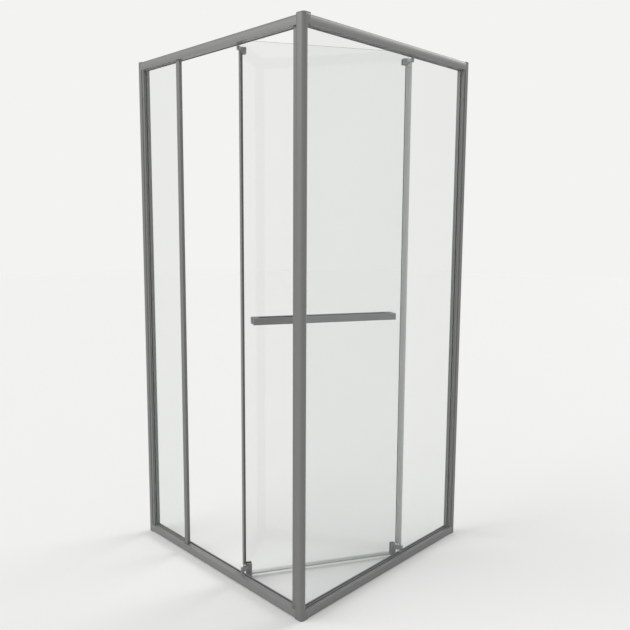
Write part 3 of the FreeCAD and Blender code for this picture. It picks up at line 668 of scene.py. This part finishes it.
class SHOWER_OT_bottom_seal(bpy.types.Operator):
    """Draw the clear seal under the door with its two curved lips."""
    bl_idname = "shower.bottom_seal"
    bl_label = "Bottom seal"

    def execute(self, context):
        look = context.scene.shower_door
        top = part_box("door_bottom_seal")[1].z
        glass_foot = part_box("door_glass")[0].z
        outline = seal_outline(top, glass_foot, glass_foot - look.lip_drop)
        mesh = swept("clear_bottom_seal", outline, -seal_half_length, seal_half_length)
        clear = clear_plastic(
            "bottom_seal_plastic", shaded(look.clear_colour, 1.5), cover=0.02, roughness=0.25)
        piece = new_piece("clear_bottom_seal", mesh, clear, "door")
        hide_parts("door_bottom_seal")
        return {"FINISHED"}


class SHOWER_OT_brackets(bpy.types.Operator):
    """Finish the four corner brackets of the door."""
    bl_idname = "shower.brackets"
    bl_label = "Brackets"

    def execute(self, context):
        look = context.scene.shower_fitting
        paint(BRACKETS, fine_metal(
            "bracket_metal", tuple(look.bracket_colour), roughness=0.38, metallic=0.4, way=door_along))
        return {"FINISHED"}


class SHOWER_OT_handle(bpy.types.Operator):
    """Finish the long bars on both faces of the door."""
    bl_idname = "shower.handle"
    bl_label = "Handle"

    def execute(self, context):
        look = context.scene.shower_fitting
        paint(HANDLE_METAL, fine_metal(
            "handle_metal", tuple(look.handle_colour), roughness=0.36, metallic=0.4, way=door_along))
        return {"FINISHED"}


class SHOWER_OT_running_gear(bpy.types.Operator):
    """Finish the rollers and castors that run in the rails, and their steel."""
    bl_idname = "shower.running_gear"
    bl_label = "Running gear"

    def execute(self, context):
        look = context.scene.shower_fitting
        paint(PALE_PLASTIC, moulded(
            "nylon", (0.62, 0.62, 0.60), roughness=0.4, grain=800.0, specular=0.5))
        paint(PLAIN_STEEL, fine_metal(
            "zinc_steel", tuple(look.steel_colour), roughness=0.35, metallic=1.0, way=upright))
        return {"FINISHED"}


class SHOWER_OT_bracket_screws(bpy.types.Operator):
    """Fit a domed screw with a hexagon socket through each bracket."""
    bl_idname = "shower.bracket_screws"
    bl_label = "Bracket screws"

    def execute(self, context):
        look = context.scene.shower_fitting
        rings = socket_screw_rings(look.screw_head)
        upper_level = frame_top - bracket_screw_level
        work = bmesh.new()
        for reach, z in ((lower_screw_reach, bracket_screw_level), (upper_screw_reach, upper_level)):
            for s in (-reach, reach):
                ring_stack(work, rings, 36, faced(door_place(s, plate_face, z), door_inward))
        mesh = closed_mesh("bracket_socket_screws", work)
        steel = fine_metal(
            "socket_screw_steel", tuple(look.steel_colour), roughness=0.28, metallic=1.0, way=upright)
        piece = new_piece("bracket_socket_screws", mesh, steel, "door")
        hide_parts("bracket_screws")
        return {"FINISHED"}


class SHOWER_OT_frame_screws(bpy.types.Operator):
    """Fit the countersunk screws in the tops and feet of the rails."""
    bl_idname = "shower.frame_screws"
    bl_label = "Frame screws"

    def execute(self, context):
        look = context.scene.shower_fitting
        rings = countersunk_screw_rings()
        work = bmesh.new()
        for reach in (screw_from_corner, half_side * 2 - screw_from_wall):
            side = Vector((half_side - reach, screw_depth - half_side, frame_top))
            for place in (side, mirrored(side)):
                ring_stack(work, rings, 48, faced(place, upright))
                foot = Vector((place.x, place.y, foot_gap))
                ring_stack(work, rings, 48, faced(foot, -upright))
        mesh = closed_mesh("rail_countersunk_screws", work)
        steel = fine_metal(
            "countersunk_screw_steel", tuple(look.steel_colour), roughness=0.3, metallic=1.0, way=upright)
        piece = new_piece("rail_countersunk_screws", mesh, steel, "frame")
        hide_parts("rail_screws")
        return {"FINISHED"}


class SHOWER_OT_corner_screw(bpy.types.Operator):
    """Fit the screw that holds the cap on the corner post."""
    bl_idname = "shower.corner_screw"
    bl_label = "Corner screw"

    def execute(self, context):
        look = context.scene.shower_fitting
        low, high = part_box("corner_cap_screw")
        place = Vector(((low.x + high.x) / 2, (low.y + high.y) / 2, high.z))
        work = bmesh.new()
        ring_stack(work, cap_screw_rings(high.z - low.z), 48, faced(place, upright))
        mesh = closed_mesh("cap_cross_screw", work)
        steel = fine_metal(
            "cap_screw_steel", tuple(look.steel_colour), roughness=0.3, metallic=1.0, way=upright)
        piece = new_piece("cap_cross_screw", mesh, steel, "corner_link")
        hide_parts("corner_cap_screw")
        return {"FINISHED"}


class SHOWER_OT_glazing_caps(bpy.types.Operator):
    """Push a domed cap over each glazing screw."""
    bl_idname = "shower.glazing_caps"
    bl_label = "Glazing caps"

    def execute(self, context):
        look = context.scene.shower_fitting
        rings = domed_cap_rings(look.cap_radius)
        work = bmesh.new()
        for level in glazing_levels:
            for z in (level, frame_top - level):
                left = Vector((half_side - glazing_reach, pocket_face - half_side, z))
                ring_stack(work, rings, 32, faced(left, -right_way))
                ring_stack(work, rings, 32, faced(mirrored(left), left_way))
        mesh = closed_mesh("glazing_domed_caps", work)
        dark = moulded("dark_cap_plastic", (0.10, 0.10, 0.10), roughness=0.4, grain=900.0, specular=0.5)
        piece = new_piece("glazing_domed_caps", mesh, dark, "frame")
        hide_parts("glazing_screw_caps")
        return {"FINISHED"}


class SHOWER_OT_stage(bpy.types.Operator):
    """Lay the floor, set the soft light and stand the camera."""
    bl_idname = "shower.stage"
    bl_label = "Stage"

    def execute(self, context):
        look = context.scene.shower_stage
        lay_floor(tuple(look.floor_colour))
        light_room(context.scene, look.sky_strength, shaded(look.floor_colour, backdrop_share))
        hang_lamp("key_light", look.key_strength, key_way, key_spread)
        hang_lamp("back_light", look.back_strength, back_way, back_spread)
        stand_camera(context.scene, look.lens)
        context.scene.view_settings.view_transform = "Standard"
        return {"FINISHED"}


def lay_floor(colour):
    work = bmesh.new()
    bmesh.ops.create_circle(work, cap_ends=True, segments=96, radius=floor_radius)
    mesh = bpy.data.meshes.new("studio_floor")
    work.to_mesh(mesh)
    work.free()
    floor = bpy.data.objects.new("studio_floor", mesh)
    bpy.context.scene.collection.objects.link(floor)
    graph = Graph(bpy.data.materials.new("studio_floor_paint"))
    cloud = graph.noise(graph.place(), scale=1.5)
    shader = graph.node("ShaderNodeBsdfPrincipled", values={
        "Base Color": graph.between(cloud, shaded(colour, 0.995), shaded(colour, 1.005)),
        "Roughness": 0.7, "Specular IOR Level": 0.1,
    })
    mesh.materials.append(graph.finish(shader))


def light_room(scene, strength, colour):
    """Soft light from all round, seen as a plain backdrop by the camera, mirrors and glass."""
    graph = Graph(bpy.data.worlds.new("studio_world"))
    camera, glossy, through = (
        graph.node("ShaderNodeLightPath", output=name)
        for name in ("Is Camera Ray", "Is Glossy Ray", "Is Transmission Ray"))
    seen = graph.arithmetic("MAXIMUM", graph.arithmetic("MAXIMUM", camera, glossy), through)
    light = graph.node("ShaderNodeBackground", values={"Color": (1.0, 1.0, 1.0, 1.0), "Strength": strength})
    backdrop = graph.node("ShaderNodeBackground", values={"Color": (*colour, 1.0), "Strength": 1.0})
    mixed = graph.node("ShaderNodeMixShader", values={0: seen, 1: light, 2: backdrop})
    scene.world = graph.finish(mixed, "ShaderNodeOutputWorld")


def hang_lamp(name, strength, way, spread):
    lamp = bpy.data.lights.new(name, "SUN")
    lamp.energy = strength
    lamp.angle = math.radians(spread)
    shown = bpy.data.objects.new(name, lamp)
    shown.rotation_euler = Vector(way).to_track_quat("Z", "Y").to_euler()
    bpy.context.scene.collection.objects.link(shown)


def stand_camera(scene, lens):
    camera = bpy.data.cameras.new("studio_camera")
    camera.lens = lens
    camera.sensor_width = sensor_width
    camera.shift_x, camera.shift_y = camera_shift
    camera.clip_end = 100.0
    shown = bpy.data.objects.new("studio_camera", camera)
    turn, dip, roll = (math.radians(angle) for angle in (camera_turn, camera_dip, camera_roll))
    look = Vector((-math.sin(turn) * math.cos(dip), math.cos(turn) * math.cos(dip), math.sin(dip)))
    rolled = Matrix.Rotation(roll, 3, "Z").to_quaternion()
    shown.rotation_mode = "QUATERNION"
    shown.rotation_quaternion = look.to_track_quat("-Z", "Y") @ rolled
    shown.location = camera_place
    scene.collection.objects.link(shown)
    scene.camera = shown


class SHOWER_PT_panel(bpy.types.Panel):
    """Lists the settings and the pieces of the shower enclosure."""
    bl_idname = "SHOWER_PT_panel"
    bl_label = "Shower enclosure"
    bl_space_type = "VIEW_3D"
    bl_region_type = "UI"
    bl_category = "Shower"

    def draw(self, context):
        for settings in SETTINGS:
            group = getattr(context.scene, settings)
            box = self.layout.box()
            for name in group.__annotations__:
                box.prop(group, name)
        for operator in OPERATORS:
            self.layout.operator(operator.bl_idname)


SETTINGS = {
    "shower_frame": ShowerFrameSettings,
    "shower_glass": ShowerGlassSettings,
    "shower_door": ShowerDoorSettings,
    "shower_fitting": ShowerFittingSettings,
    "shower_stage": ShowerStageSettings,
}

OPERATORS = (
    SHOWER_OT_frame_metal,
    SHOWER_OT_frame_plastics,
    SHOWER_OT_glass,
    SHOWER_OT_door_edges,
    SHOWER_OT_bottom_seal,
    SHOWER_OT_brackets,
    SHOWER_OT_handle,
    SHOWER_OT_running_gear,
    SHOWER_OT_bracket_screws,
    SHOWER_OT_frame_screws,
    SHOWER_OT_corner_screw,
    SHOWER_OT_glazing_caps,
    SHOWER_OT_stage,
)


def register():
    for cls in (*SETTINGS.values(), *OPERATORS, SHOWER_PT_panel):
        bpy.utils.register_class(cls)
    for name, cls in SETTINGS.items():
        setattr(bpy.types.Scene, name, bpy.props.PointerProperty(type=cls))


def unregister():
    for name in SETTINGS:
        delattr(bpy.types.Scene, name)
    for cls in reversed((*SETTINGS.values(), *OPERATORS, SHOWER_PT_panel)):
        bpy.utils.unregister_class(cls)


def main():
    register()
    bpy.ops.shower.frame_metal()
    bpy.ops.shower.frame_plastics()
    bpy.ops.shower.glass()
    bpy.ops.shower.door_edges()
    bpy.ops.shower.bottom_seal()
    bpy.ops.shower.brackets()
    bpy.ops.shower.handle()
    bpy.ops.shower.running_gear()
    bpy.ops.shower.bracket_screws()
    bpy.ops.shower.frame_screws()
    bpy.ops.shower.corner_screw()
    bpy.ops.shower.glazing_caps()
    bpy.ops.shower.stage()


if __name__ == "__main__":
    main()
